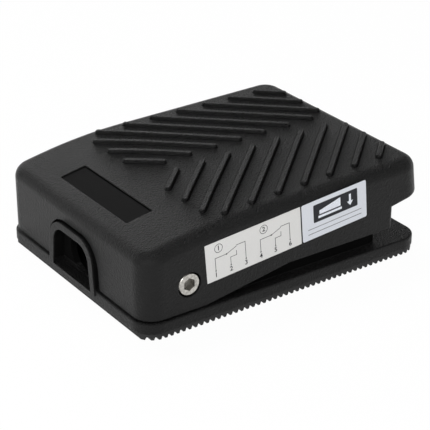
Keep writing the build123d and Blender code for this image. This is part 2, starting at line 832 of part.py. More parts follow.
with BuildPart() as left_terminals:
    for tab_x, leg_x, leg_z in leg_plans:
        with BuildSketch(Plane.XY.offset(switch_z - tab_length)):
            with Locations((tab_x + tab_width / 2, switch_mid_y)):
                Rectangle(tab_width, strip_thickness)
        extrude(amount=tab_length + switch_wall + strip_back_gap)
        with BuildSketch(Plane.XY.offset(cavity_floor_z + strip_back_gap)):
            with Locations((tab_x + tab_width / 2, strip_y + strip_depth_y / 2)):
                Rectangle(tab_width, strip_depth_y)
        extrude(amount=strip_thickness)
        with BuildSketch(side_plane(strip_y)):
            Polygon(
                (tab_x, cavity_floor_z + strip_back_gap),
                (tab_x + tab_width, cavity_floor_z + strip_back_gap),
                (tab_x + tab_width, leg_z + strip_thickness),
                (tab_x, leg_z + strip_thickness),
                align=None,
            )
            arm_end_x = max(leg_x + leg_width / 2, tab_x + tab_width)
            Polygon(
                (tab_x, leg_z + strip_thickness - strip_arm),
                (arm_end_x, leg_z + strip_thickness - strip_arm),
                (arm_end_x, leg_z + strip_thickness),
                (tab_x, leg_z + strip_thickness),
                align=None,
            )
        extrude(amount=-strip_thickness)
        with BuildSketch(Plane.XY.offset(leg_z)):
            with Locations((leg_x, strip_y + leg_depth_y / 2)):
                Rectangle(leg_width, leg_depth_y)
        extrude(amount=strip_thickness)
    for rivet_z in (rest_contact_z - contact_height, open_contact_z):
        with BuildSketch(Plane.XY.offset(rivet_z)):
            with Locations((contact_x, switch_mid_y)):
                Circle(contact_radius)
        extrude(amount=contact_height)

with BuildPart() as left_contact_blade:
    with BuildSketch(side_plane(switch_mid_y - blade_width / 2)):
        Polygon(
            (blade_anchor_x - leg_width / 2, blade_under_z),
            (contact_x + leg_width / 2, blade_under_z),
            (contact_x + leg_width / 2, blade_top_z),
            (blade_anchor_x - leg_width / 2, blade_top_z),
            align=None,
        )
    extrude(amount=-blade_width)
    with BuildSketch(Plane.XY.offset(blade_under_z - blade_rivet)):
        with Locations((contact_x, switch_mid_y)):
            Circle(contact_radius)
    extrude(amount=blade_thickness + 2 * blade_rivet)

with BuildPart() as right_switch_case:
    mirror(left_switch_case.part, about=Plane.XZ)
with BuildPart() as right_switch_lid:
    mirror(left_switch_lid.part, about=Plane.XZ)
with BuildPart() as right_plunger:
    mirror(left_plunger.part, about=Plane.XZ)
with BuildPart() as right_lever:
    mirror(left_lever.part, about=Plane.XZ)
with BuildPart() as right_lever_pin:
    mirror(left_lever_pin.part, about=Plane.XZ)
with BuildPart() as right_terminals:
    mirror(left_terminals.part, about=Plane.XZ)
with BuildPart() as right_contact_blade:
    mirror(left_contact_blade.part, about=Plane.XZ)

# Return springs between the seats of the tray and of the cover
coil_radius = spring_radius - spring_wire / 2
coil_height = cover_seat_z - base_seat_z - spring_wire - spring_play

with BuildPart() as left_return_spring:
    with BuildLine():
        coil = Helix(
            coil_height / spring_turns, coil_height, coil_radius,
            center=(spring_x, spring_y, base_seat_z + spring_wire / 2),
        )
    with BuildSketch(Plane(origin=coil @ 0, z_dir=coil % 0)):
        Circle(spring_wire / 2)
    sweep(path=coil, is_frenet=True)

with BuildPart() as right_return_spring:
    mirror(left_return_spring.part, about=Plane.XZ)

# Bracket between the switches: an upright web with a bent foot at each end, on opposite sides
bracket_foot_z = pad_z + bracket_thickness

with BuildPart() as switch_bracket:
    with BuildSketch(side_plane(-bracket_thickness / 2)):
        with BuildLine():
            Polyline(
                (bracket_start_x, bracket_web_z),
                (bracket_end_x, bracket_web_z),
                (bracket_end_x, bracket_shoulder_z),
                (switch_end_x + bracket_margin, bracket_top_z),
                (switch_x - bracket_margin, bracket_top_z),
                (bracket_start_x, bracket_shoulder_z),
                close=True,
            )
        web = make_face()
        fillet(web.vertices().group_by(Axis.Y)[1:], bracket_corner)
        with Locations(*switch_holes):
            Circle(switch_hole_radius, mode=Mode.SUBTRACT)
    extrude(amount=-bracket_thickness)
    for foot_x, side in ((foot_spots[0][0], 1), (foot_spots[1][0], -1)):
        with BuildSketch(Plane.YZ.offset(foot_x - bracket_foot_length / 2)):
            heel = Polygon(
                (-side * bracket_thickness / 2, pad_z),
                (side * (bracket_thickness / 2 + bracket_foot_width), pad_z),
                (side * (bracket_thickness / 2 + bracket_foot_width), bracket_foot_z),
                (side * bracket_thickness / 2, bracket_foot_z),
                (side * bracket_thickness / 2, bracket_web_z),
                (-side * bracket_thickness / 2, bracket_web_z),
                align=None,
            )
            bend_outside = heel.vertices().sort_by_distance((-side * bracket_thickness / 2, pad_z))[0]
            fillet(bend_outside, bracket_bend + bracket_thickness)
        extrude(amount=bracket_foot_length)
    with BuildSketch(Plane.XY.offset(pad_z)):
        with Locations(*foot_spots):
            Circle(foot_screw_radius + hole_play)
    extrude(amount=bracket_thickness, mode=Mode.SUBTRACT)

with BuildPart() as switch_bolts:
    for bolt_spot in switch_holes:
        with BuildSketch(side_plane(-switch_outer_y)):
            with Locations(bolt_spot):
                Circle(bolt_radius)
        extrude(amount=-(2 * switch_outer_y + nut_height + bolt_end))
        with BuildSketch(side_plane(-switch_outer_y)):
            with Locations(bolt_spot):
                Circle(bolt_head_radius)
        extrude(amount=bolt_head)
        with BuildSketch(side_plane(-switch_outer_y - bolt_head)):
            with Locations(bolt_spot):
                RegularPolygon(bolt_socket / 2, 6, major_radius=False)
        extrude(amount=-bolt_socket_depth, mode=Mode.SUBTRACT)

with BuildPart() as switch_nuts:
    with BuildSketch(side_plane(switch_outer_y)):
        with Locations(*switch_holes):
            RegularPolygon(nut_flats / 2, 6, major_radius=False)
            Circle(bolt_radius + fit_play, mode=Mode.SUBTRACT)
    extrude(amount=-nut_height)

foot_screw_length = pad_z - floor_z + floor_thickness / 2

with BuildPart() as bracket_screws:
    with BuildSketch(Plane.XY.offset(bracket_foot_z)):
        with Locations(*foot_spots):
            Circle(foot_screw_head_radius)
    extrude(amount=foot_screw_head)
    with BuildSketch(Plane.XY.offset(bracket_foot_z)):
        with Locations(*foot_spots):
            Circle(foot_screw_radius - fit_play)
    extrude(amount=-(foot_screw_length + bracket_thickness - screw_end_play))
    with BuildSketch(Plane.XY.offset(bracket_foot_z + foot_screw_head)):
        with Locations(*foot_spots):
            Rectangle(2 * foot_screw_head_radius, slot_width)
    extrude(amount=-slot_depth, mode=Mode.SUBTRACT)

# Adjusting screws in the cover, with their lock nuts
with BuildPart() as actuator_screws:
    with BuildSketch(Plane.XY.offset(actuator_tip_z)):
        with Locations(*actuator_spots):
            Circle(actuator_radius)
    extrude(amount=actuator_length)
    chamfer(actuator_screws.edges().group_by(Axis.Z)[0], actuator_nose_bevel)

with BuildPart() as actuator_nuts:
    with BuildSketch(Plane.XY.offset(actuator_boss_z - lock_nut_height)):
        with Locations(*actuator_spots):
            RegularPolygon(lock_nut_flats / 2, 6, major_radius=False)
            Circle(actuator_radius + fit_play, mode=Mode.SUBTRACT)
    extrude(amount=lock_nut_height)

# Cable clamp: a bar with an arch over the cable's place, screwed to two posts
with BuildPart() as cable_clamp:
    with BuildSketch(Plane.YZ.offset(clamp_x - clamp_length / 2)):
        with Locations((0, clamp_post_z + clamp_height / 2)):
            Rectangle(clamp_span, clamp_height)
        with Locations((0, clamp_post_z)):
            Circle(clamp_arch_radius + clamp_height)
            Circle(clamp_arch_radius, mode=Mode.SUBTRACT)
            Rectangle(
                clamp_span, clamp_arch_radius + clamp_height,
                align=(Align.CENTER, Align.MAX), mode=Mode.SUBTRACT,
            )
    extrude(amount=clamp_length)
    with BuildSketch(Plane.XY.offset(clamp_post_z)):
        with Locations(*clamp_spots):
            Circle(clamp_screw_radius + hole_play)
    extrude(amount=clamp_height, mode=Mode.SUBTRACT)

with BuildPart() as clamp_screws:
    with BuildSketch(Plane.XY.offset(clamp_post_z + clamp_height)):
        with Locations(*clamp_spots):
            Circle(clamp_screw_head_radius)
    extrude(amount=clamp_screw_head)
    with BuildSketch(Plane.XY.offset(clamp_post_z + clamp_height)):
        with Locations(*clamp_spots):
            Circle(clamp_screw_radius - fit_play)
    extrude(amount=-(clamp_height + clamp_post_z - floor_z - screw_end_play))
    with BuildSketch(Plane.XY.offset(clamp_post_z + clamp_height + clamp_screw_head)):
        with Locations(*clamp_spots):
            Rectangle(2 * clamp_screw_head_radius, slot_width)
    extrude(amount=-slot_depth, mode=Mode.SUBTRACT)

base_frame.part.label = "base_frame"
export_step(base_frame.part, "parts/base_frame.step")
rubber_mat.part.label = "rubber_mat"
export_step(rubber_mat.part, "parts/rubber_mat.step")
pedal_cover.part.label = "pedal_cover"
export_step(pedal_cover.part, "parts/pedal_cover.step")
inlay_plate.part.label = "inlay_plate"
export_step(inlay_plate.part, "parts/inlay_plate.step")
hinge_screws.part.label = "hinge_screws"
export_step(hinge_screws.part, "parts/hinge_screws.step")
hinge_inserts.part.label = "hinge_inserts"
export_step(hinge_inserts.part, "parts/hinge_inserts.step")
hinge_washers.part.label = "hinge_washers"
export_step(hinge_washers.part, "parts/hinge_washers.step")
hinge_bushes.part.label = "hinge_bushes"
export_step(hinge_bushes.part, "parts/hinge_bushes.step")
left_switch_case.part.label = "left_switch_case"
export_step(left_switch_case.part, "parts/left_switch_case.step")
right_switch_case.part.label = "right_switch_case"
export_step(right_switch_case.part, "parts/right_switch_case.step")
left_switch_lid.part.label = "left_switch_lid"
export_step(left_switch_lid.part, "parts/left_switch_lid.step")
right_switch_lid.part.label = "right_switch_lid"
export_step(right_switch_lid.part, "parts/right_switch_lid.step")
left_plunger.part.label = "left_plunger"
export_step(left_plunger.part, "parts/left_plunger.step")
right_plunger.part.label = "right_plunger"
export_step(right_plunger.part, "parts/right_plunger.step")
left_lever.part.label = "left_lever"
export_step(left_lever.part, "parts/left_lever.step")
right_lever.part.label = "right_lever"
export_step(right_lever.part, "parts/right_lever.step")
left_lever_pin.part.label = "left_lever_pin"
export_step(left_lever_pin.part, "parts/left_lever_pin.step")
right_lever_pin.part.label = "right_lever_pin"
export_step(right_lever_pin.part, "parts/right_lever_pin.step")
left_terminals.part.label = "left_terminals"
export_step(left_terminals.part, "parts/left_terminals.step")
right_terminals.part.label = "right_terminals"
export_step(right_terminals.part, "parts/right_terminals.step")
left_contact_blade.part.label = "left_contact_blade"
export_step(left_contact_blade.part, "parts/left_contact_blade.step")
right_contact_blade.part.label = "right_contact_blade"
export_step(right_contact_blade.part, "parts/right_contact_blade.step")
left_return_spring.part.label = "left_return_spring"
export_step(left_return_spring.part, "parts/left_return_spring.step")
right_return_spring.part.label = "right_return_spring"
export_step(right_return_spring.part, "parts/right_return_spring.step")
switch_bracket.part.label = "switch_bracket"
export_step(switch_bracket.part, "parts/switch_bracket.step")
switch_bolts.part.label = "switch_bolts"
export_step(switch_bolts.part, "parts/switch_bolts.step")
switch_nuts.part.label = "switch_nuts"
export_step(switch_nuts.part, "parts/switch_nuts.step")
bracket_screws.part.label = "bracket_screws"
export_step(bracket_screws.part, "parts/bracket_screws.step")
actuator_screws.part.label = "actuator_screws"
export_step(actuator_screws.part, "parts/actuator_screws.step")
actuator_nuts.part.label = "actuator_nuts"
export_step(actuator_nuts.part, "parts/actuator_nuts.step")
cable_clamp.part.label = "cable_clamp"
export_step(cable_clamp.part, "parts/cable_clamp.step")
clamp_screws.part.label = "clamp_screws"
export_step(clamp_screws.part, "parts/clamp_screws.step")
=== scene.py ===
"""Looks of an industrial foot switch: plastics, rubber, metals, labels, and a plain studio."""

import json
from math import cos, pi, radians, sin

import bmesh
import bpy
from bpy.props import FloatProperty, FloatVectorProperty, PointerProperty
from mathutils import Matrix, Vector


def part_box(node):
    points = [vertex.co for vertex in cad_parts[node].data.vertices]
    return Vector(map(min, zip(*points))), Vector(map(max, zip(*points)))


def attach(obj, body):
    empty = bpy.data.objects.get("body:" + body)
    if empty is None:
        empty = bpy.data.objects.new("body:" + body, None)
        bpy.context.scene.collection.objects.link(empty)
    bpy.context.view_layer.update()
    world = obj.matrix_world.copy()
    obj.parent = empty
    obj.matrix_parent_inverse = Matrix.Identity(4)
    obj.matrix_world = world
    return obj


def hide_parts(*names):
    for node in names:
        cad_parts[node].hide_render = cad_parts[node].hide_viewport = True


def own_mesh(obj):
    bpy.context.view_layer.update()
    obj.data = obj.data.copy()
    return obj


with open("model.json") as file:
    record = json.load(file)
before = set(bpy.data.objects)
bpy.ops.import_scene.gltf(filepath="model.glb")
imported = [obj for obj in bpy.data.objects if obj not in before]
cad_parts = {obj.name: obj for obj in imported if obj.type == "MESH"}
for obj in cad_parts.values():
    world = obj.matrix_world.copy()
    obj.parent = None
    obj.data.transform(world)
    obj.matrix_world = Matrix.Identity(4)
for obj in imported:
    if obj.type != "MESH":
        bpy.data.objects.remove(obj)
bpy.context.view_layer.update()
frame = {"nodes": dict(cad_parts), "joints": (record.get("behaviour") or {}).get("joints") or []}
NODES = frame["nodes"]
MM = 0.001
NUMERAL_SIZE = 3.0 * MM

bl_info = {
    "name": "Foot Switch Looks",
    "version": (1, 0, 0),
    "blender": (4, 5, 0),
    "location": "3D View > Sidebar > Foot Switch",
    "description": "Finishes, labels and studio for a foot switch",
    "category": "Object",
}


def joint_point(name):
    """Where the named joint's axis passes, in the row frame."""
    return Vector(next(joint["pos_m"] for joint in frame["joints"] if joint["name"] == name))


HINGE = joint_point("pedal_hinge")
COVER_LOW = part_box("pedal_cover")[0]
TRAY_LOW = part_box("base_frame")[0]
SCREW_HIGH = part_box("hinge_screws")[1]
INLAY_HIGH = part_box("inlay_plate")[1]


class Value:
    """A shader socket that takes part in Python arithmetic; each operation adds one Math node."""

    def __init__(self, shader, socket):
        self.shader = shader
        self.socket = socket

    def maths(self, operation, first, second=0.0):
        return self.shader.node("ShaderNodeMath", {"operation": operation}, {0: first, 1: second})

    def __add__(self, other):
        return self.maths("ADD", self, other)

    __radd__ = __add__

    def __sub__(self, other):
        return self.maths("SUBTRACT", self, other)

    def __rsub__(self, other):
        return self.maths("SUBTRACT", other, self)

    def __mul__(self, other):
        return self.maths("MULTIPLY", self, other)

    __rmul__ = __mul__

    def sine(self):
        return self.maths("SINE", self)

    def root(self):
        return self.maths("SQRT", self)

    def size(self):
        """The value without its sign."""
        return self.maths("ABSOLUTE", self)

    def ramp(self, low, high):
        """0 at low, 1 at high, smooth between them."""
        return self.shader.node(
            "ShaderNodeMapRange", {"interpolation_type": "SMOOTHSTEP"},
            {"Value": self, "From Min": low, "From Max": high},
        )


class Shader:
    """A node tree in the making: every node comes from its one method, node."""

    def __init__(self, owner):
        owner.use_nodes = True
        self.tree = owner.node_tree
        self.tree.nodes.clear()

    def node(self, kind, settings=None, sockets=None, output=0):
        """Adds a node with its settings and its sockets' values or links, and gives one output."""
        made = self.tree.nodes.new(kind)
        for key, setting in (settings or {}).items():
            setattr(made, key, setting)
        for key, given in (sockets or {}).items():
            if isinstance(given, Value):
                self.tree.links.new(given.socket, made.inputs[key])
            else:
                made.inputs[key].default_value = given
        return Value(self, made.outputs[output]) if made.outputs else made

    def point(self):
        """The surface point in its own piece's frame, in metres."""
        return self.node("ShaderNodeTexCoord", output="Object")

    def facing_up(self):
        """1 where the surface faces up in its own piece's frame, 0 on its walls."""
        return self.axis(self.node("ShaderNodeTexCoord", output="Normal"), "Z").ramp(0.3, 0.9)

    def noise(self, place, size, detail=2.0, roughness=0.5):
        """Smooth noise from 0 to 1, with features of a size."""
        return self.node(
            "ShaderNodeTexNoise", None,
            {"Vector": place, "Scale": 1.0 / size, "Detail": detail, "Roughness": roughness}, "Fac",
        )

    def cells(self, place, size):
        """Distance to the middle of the nearest of many cells, as a share of their size."""
        return self.node("ShaderNodeTexVoronoi", None, {"Vector": place, "Scale": 1.0 / size}, "Distance")

    def ray(self, kind):
        """1 for the named kind of ray, 0 for the others."""
        return self.node("ShaderNodeLightPath", output=kind)

    def axis(self, place, name):
        """One part, X, Y or Z, of a vector."""
        return self.node("ShaderNodeSeparateXYZ", None, {0: place}, name)

    def tint(self, share, dark, light):
        """A colour between dark and light, by a share from 0 to 1."""
        return self.node(
            "ShaderNodeMix", {"data_type": "RGBA"},
            {"Factor": share, 6: (*dark, 1.0), 7: (*light, 1.0)}, 2,
        )

    def bump(self, height, distance, normal=None):
        """A normal tilted by a height from 0 to 1, which stands for the distance."""
        sockets = {"Height": height, "Distance": distance}
        if normal is not None:
            sockets["Normal"] = normal
        return self.node("ShaderNodeBump", None, sockets)

    def worn_edges(self, radius):
        """The surface's normal, as if its edges were worn round by a radius."""
        return self.node("ShaderNodeBevel", {"samples": 6}, {"Radius": radius})

    def turned_from_face(self, normal):
        """How far a normal is turned from the face's own: 0 on flat ground, more on a worn edge."""
        face = self.node("ShaderNodeNewGeometry", output="Normal")
        return 1.0 - self.node(
            "ShaderNodeVectorMath", {"operation": "DOT_PRODUCT"}, {0: normal, 1: face}, "Value",
        )

    def closed_in(self, reach):
        """0 in the open, towards 1 where walls of the same piece stand within reach."""
        return 1.0 - self.node(
            "ShaderNodeAmbientOcclusion", {"samples": 8, "only_local": True}, {"Distance": reach}, "AO",
        )

    def skin(self, **sockets):
        """A surface shader, with socket names given in small letters."""
        named = {key.replace("_", " ").title(): given for key, given in sockets.items()}
        if "Specular Ior Level" in named:
            named["Specular IOR Level"] = named.pop("Specular Ior Level")
        return self.node("ShaderNodeBsdfPrincipled", None, named)

    def blend(self, share, first, second):
        """The first surface shader where share is 0, the second where it is 1."""
        return self.node("ShaderNodeMixShader", None, {0: share, 1: first, 2: second})

    def finish(self, surface):
        """Puts a surface shader on the material."""
        self.node("ShaderNodeOutputMaterial", None, {"Surface": surface})


def new_shader(name):
    """A new material and the shader that fills its node tree."""
    material = bpy.data.materials.new(name)
    return material, Shader(material)


def scaled(colour, factor):
    """A colour made darker or lighter by a factor."""
    return tuple(channel * factor for channel in colour[:3])


def tray_recess_shade(shader, place):
    """Painted shade mask: 1 on the tray's walls under the cover and inside the cable recess, 0 on the
    faces in the open.
    """
    plate_top = TRAY_LOW.z + 5.0 * MM
    collar_face = TRAY_LOW.x + 0.3 * MM
    above_plate = shader.axis(place, "Z").ramp(plate_top, plate_top + 0.6 * MM)
    behind_collar = shader.axis(place, "X").ramp(collar_face, collar_face + 0.8 * MM)
    return above_plate * behind_collar


def inlay_rim_shade(shader, place):
    """Painted shade mask: 1 on the two edges of the inlay that lie in the shade of its recess."""
    toe_edge = shader.axis(place, "X").ramp(INLAY_HIGH.x - 0.9 * MM, INLAY_HIGH.x - 0.4 * MM)
    far_edge = shader.axis(place, "Y").ramp(INLAY_HIGH.y - 0.8 * MM, INLAY_HIGH.y - 0.4 * MM)
    return 1.0 - (1.0 - toe_edge) * (1.0 - far_edge)


def rib_corner_shade(shader, place):
    """Painted shade mask: 1 in the corners beside the ribs, where shade gathers, 0 on open ground."""
    reach, open_ground, corner = 1.9 * MM, 0.14, 0.42
    return shader.closed_in(reach).ramp(open_ground, corner) * shader.facing_up()


def moulded_plastic(
    name, colour, roughness, grain_size, grain_depth, mottle=0.15, sheen=0.5, wear=0.5 * MM, shade_mask=None,
):
    """Moulded plastic with the eroded grain of its tool, weaker on walls, and a faint, wide mottle.

    Where a shade mask is given, the surface under it is a darker, duller copy of the skin: painted shade.
    """
    material, shader = new_shader(name)
    place = shader.point()
    patch_size, wall_grain = 40 * MM, 0.25
    grain = shader.noise(place, grain_size, detail=3.0, roughness=0.65)
    patches = shader.noise(place, patch_size, detail=3.0, roughness=0.55)
    specks = 1.0 - shader.cells(place, 2 * grain_size).ramp(0.0, 0.25)
    share = patches.ramp(0.3, 0.7) * 0.7 + grain.ramp(0.3, 0.75) * 0.3
    height = (grain + 0.4 * specks) * (shader.facing_up() * (1 - wall_grain) + wall_grain)
    edges = shader.worn_edges(wear)
    polish = shader.turned_from_face(edges).ramp(0.0, 0.15)
    skin = shader.skin(
        base_color=shader.tint(share, scaled(colour, 1 - mottle), scaled(colour, 1 + mottle)),
        roughness=(patches - 0.5) * 0.12 + (grain - 0.5) * 0.3 + roughness - polish * 0.2,
        specular_ior_level=sheen,
        normal=shader.bump(height, grain_depth, normal=edges),
    )
    if shade_mask:
        # Painted shade: a darker, duller copy of the skin, blended in where the mask is 1.
        dull = shader.skin(
            base_color=shader.tint(share, scaled(colour, 0.4), scaled(colour, 0.6)),
            roughness=0.95, specular_ior_level=sheen * 0.2,
        )
        skin = shader.blend(shade_mask(shader, place), skin, dull)
    shader.finish(skin)
    return material


def ribbed_rubber(name, colour, roughness):
    """Matt rubber with a dusty bloom in patches and a fine uneven skin."""
    material, shader = new_shader(name)
    place = shader.point()
    pore_size, bloom_size = 0.35 * MM, 18 * MM
    pores = shader.noise(place, pore_size, detail=2.0, roughness=0.6)
    bloom = shader.noise(place, bloom_size, detail=4.0, roughness=0.6)
    shader.finish(shader.skin(
        base_color=shader.tint(bloom.ramp(0.35, 0.75), colour, scaled(colour, 1.7)),
        roughness=(bloom - 0.5) * 0.15 + roughness,
        normal=shader.bump(pores, 0.05 * MM),
    ))
    return material


def plated_metal(name, colour, roughness, grain_size=0.5 * MM, tarnish=0.1):
    """Plated steel or brass with a faint grain and slightly duller patches."""
    material, shader = new_shader(name)
    place = shader.point()
    patch_size = 3 * MM
    patches = shader.noise(place, patch_size, detail=3.0, roughness=0.6)
    grain = shader.noise(place, grain_size, detail=2.0, roughness=0.5)
    shader.finish(shader.skin(
        base_color=shader.tint(patches.ramp(0.3, 0.7), scaled(colour, 1 - tarnish), colour),
        metallic=1.0,
        roughness=(patches - 0.5) * 0.15 + roughness,
        normal=shader.bump(grain, 0.01 * MM),
    ))
    return material


def turned_nickel(name, colour, roughness):
    """Nickel-plated screw heads with fine turning marks round the hinge line."""
    material, shader = new_shader(name)
    place = shader.point()
    across = shader.axis(place, "X") - HINGE.x
    up = shader.axis(place, "Z") - HINGE.z
    radius = (across * across + up * up).root()
    mark_pitch, haze_size = 0.22 * MM, 1.5 * MM
    marks = (radius * (2 * pi / mark_pitch)).sine()
    haze = shader.noise(place, haze_size, detail=3.0, roughness=0.6)
    rim = radius.ramp(4.2 * MM, 4.7 * MM)
    # Painted shade: the colour darkens down inside the screw's socket, with depth from the head's face.
    socket_depth = SCREW_HIGH.y - shader.axis(place, "Y").size()
    socket_shade = socket_depth.ramp(0.2 * MM, 1.6 * MM)
    shader.finish(shader.skin(
        base_color=shader.tint(haze.ramp(0.3, 0.7) * (1.0 - socket_shade), scaled(colour, 0.55), colour),
        metallic=1.0,
        roughness=(haze - 0.5) * 0.12 + roughness - rim * 0.05,
        normal=shader.bump(marks * 0.5 + haze, 0.008 * MM),
    ))
    return material


def label_film(name, colour):
    """Printed film: near white, faintly uneven, with a soft satin skin."""
    material, shader = new_shader(name)
    place = shader.point()
    fibre_size, wave_size = 0.6 * MM, 14 * MM
    fibres = shader.noise(place, fibre_size, detail=3.0, roughness=0.6)
    waves = shader.noise(place, wave_size, detail=2.0, roughness=0.5)
    shader.finish(shader.skin(
        base_color=shader.tint(fibres.ramp(0.25, 0.75), scaled(colour, 0.95), colour),
        roughness=(waves - 0.5) * 0.1 + 0.42,
        normal=shader.bump(waves, 0.25 * MM, shader.bump(fibres, 0.006 * MM)),
    ))
    return material


def printing_ink(name, colour):
    """Dark print that varies a little in strength."""
    material, shader = new_shader(name)
    patch_size = 0.4 * MM
    patches = shader.noise(shader.point(), patch_size, detail=2.0, roughness=0.6)
    shader.finish(shader.skin(
        base_color=shader.tint(patches.ramp(0.3, 0.8), colour, scaled(colour, 1.3)),
        roughness=0.5, specular_ior_level=0.15,
    ))
    return material


def dress(names, material):
    """Gives CAD nodes their finish."""
    for name in names:
        mesh = NODES[name].data
        mesh.materials.clear()
        mesh.materials.append(material)


def new_piece(name, mesh, material, body):
    """Links a finished mesh into the scene, dresses it and lets it ride on a body."""
    piece = bpy.data.objects.new(name, mesh)
    bpy.context.scene.collection.objects.link(piece)
    mesh.materials.clear()
    mesh.materials.append(material)
    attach(piece, body)
    return piece


def finished_mesh(name, work):
    """Turns a bmesh into a named mesh, and frees it."""
    mesh = bpy.data.meshes.new(name)
    work.to_mesh(mesh)
    work.free()
    return mesh


def join_rings(work, rings):
    """Joins each ring of vertices to the next with a band of four-sided faces."""
    for first, second in zip(rings, rings[1:]):
        for index in range(len(first)):
            following = (index + 1) % len(first)
            work.faces.new((first[index], first[following], second[following], second[index]))


def coil_height(turn, turns, closed, pitch, rise):
    """Height of the wire's middle over its start: closed end turns, and open ones between them."""
    if turn < closed:
        return turn * pitch
    if turn > turns - closed:
        return rise - (turns - turn) * pitch
    share = (turn - closed) / (turns - 2 * closed)
    return closed * pitch + share * (rise - 2 * closed * pitch)


def spring_mesh(name, low, high, wire, turns, closed, steps=28, sides=10):
    """A wound spring that fills the box from low to high, with closed ends ground flat."""
    middle = (low + high) / 2
    radius = (high.x - low.x - wire) / 2
    rise = high.z - low.z - wire
    closed_pitch = wire * 1.05
    work = bmesh.new()
    rings = []
    for step in range(int(turns * steps) + 1):
        turn = step / steps
        angle = 2 * pi * turn
        outward = Vector((cos(angle), sin(angle), 0))
        centre = Vector((middle.x, middle.y, low.z + wire / 2)) + outward * radius
        centre.z += coil_height(turn, turns, closed, closed_pitch, rise)
        ring = []
        for side in range(sides):
            around = 2 * pi * side / sides
            point = centre + (outward * cos(around) + Vector((0, 0, sin(around)))) * wire / 2
            point.z = min(max(point.z, low.z), high.z)
            ring.append(work.verts.new(point))
        rings.append(ring)
    join_rings(work, rings)
    work.faces.new(rings[0])
    work.faces.new(rings[-1])
    bmesh.ops.recalc_face_normals(work, faces=work.faces)
    for face in work.faces:
        face.smooth = len(face.verts) == 4
    return finished_mesh(name, work)


class SidePanelFrame:
    """A tilted frame on the near side face of the cover: u runs along, v up, w out of the face."""

    def __init__(self, x, z, tilt):
        self.along = Vector((cos(tilt), 0, sin(tilt)))
        self.up = Vector((-sin(tilt), 0, cos(tilt)))
        self.out = Vector((0, -1, 0))
        self.origin = Vector((x, COVER_LOW.y, z))

    def place(self, u, v, w):
        return self.origin + self.along * u + self.up * v + self.out * w


def rounded_outline(left, bottom, right, top, radius, steps=6):
    """Corner-rounded rectangle as (u, v) points, counter-clockwise."""
    corners = (
        (right - radius, bottom + radius, -pi / 2),
        (right - radius, top - radius, 0),
        (left + radius, top - radius, pi / 2),
        (left + radius, bottom + radius, pi),
    )
    points = []
    for middle_u, middle_v, start in corners:
        for step in range(steps + 1):
            angle = start + step * pi / 2 / steps
            points.append((middle_u + radius * cos(angle), middle_v + radius * sin(angle)))
    return points


def film_mesh(name, face, outline, thickness, edge):
    """A thin plate on a face: its rim stands up from the face and turns over in a small bevel."""
    work = bmesh.new()
    middle_u = sum(u for u, v in outline) / len(outline)
    middle_v = sum(v for u, v in outline) / len(outline)
    rings = []
    for inset, height in ((0.0, 0.0), (0.0, thickness - edge), (edge, thickness)):
        ring = []
        for u, v in outline:
            away = Vector((u - middle_u, v - middle_v)).normalized() * inset
            ring.append(work.verts.new(face.place(u - away.x, v - away.y, height)))
        rings.append(ring)
    join_rings(work, rings)
    work.faces.new(rings[-1])
    work.faces.new(list(reversed(rings[0])))
    bmesh.ops.recalc_face_normals(work, faces=work.faces)
    return finished_mesh(name, work)


def add_stroke(work, face, points, width, height):
    """Adds a printed line through (u, v) points, as flat bars that lap at the corners."""
    for (u0, v0), (u1, v1) in zip(points, points[1:]):
        run = Vector((u1 - u0, v1 - v0))
        step = run.normalized() * width / 2
        side = Vector((-step.y, step.x))
        ends = (
            (u0 - step.x - side.x, v0 - step.y - side.y), (u1 + step.x - side.x, v1 + step.y - side.y),
            (u1 + step.x + side.x, v1 + step.y + side.y), (u0 - step.x + side.x, v0 - step.y + side.y),
        )
        work.faces.new([work.verts.new(face.place(u, v, height)) for u, v in ends])


def add_shape(work, face, points, height):
    """Adds a filled shape with the given (u, v) corners."""
    work.faces.new([work.verts.new(face.place(u, v, height)) for u, v in points])


def circle(u, v, radius, steps):
    """Points round (u, v)."""
    angles = [2 * pi * step / steps for step in range(steps)]
    return [(u + radius * cos(angle), v + radius * sin(angle)) for angle in angles]


def add_disc(work, face, u, v, radius, height, steps=12):
    """Adds a small printed dot."""
    add_shape(work, face, circle(u, v, radius, steps), height)


def add_ring(work, face, u, v, radius, line, height, steps=24):
    """Adds a printed circle."""
    reaches = (radius + line / 2, radius - line / 2)
    join_rings(work, [
        [work.verts.new(face.place(*point, height)) for point in circle(u, v, reach, steps)]
        for reach in reaches
    ])


def numeral_mesh(text, size):
    """The flat mesh of plain numerals, centred on the origin in its own plane."""
    curve = bpy.data.curves.new("numeral", "FONT")
    curve.body = text
    curve.size = size
    curve.offset = size * 0.02
    curve.align_x = "CENTER"
    curve.align_y = "CENTER"
    curve.resolution_u = 3
    holder = bpy.data.objects.new("numeral", curve)
    bpy.context.scene.collection.objects.link(holder)
    bpy.context.view_layer.update()
    shape = bpy.data.meshes.new_from_object(holder.evaluated_get(bpy.context.evaluated_depsgraph_get()))
    bpy.data.objects.remove(holder)
    bpy.data.curves.remove(curve)
    return shape


def add_numeral(work, face, text, size, u, v, height):
    """Adds a plain numeral at (u, v) on a face."""
    shape = numeral_mesh(text, size)
    made = [work.verts.new(face.place(u + vert.co.x, v + vert.co.y, height)) for vert in shape.vertices]
    for polygon in shape.polygons:
        work.faces.new([made[index] for index in polygon.vertices])
    bpy.data.meshes.remove(shape)


def print_mesh(name, work):
    """The finished mesh of a print, with every face turned out of the cover's near side."""
    bmesh.ops.recalc_face_normals(work, faces=work.faces)
    for face in work.faces:
        if face.normal.y > 0:
            face.normal_flip()
    return finished_mesh(name, work)


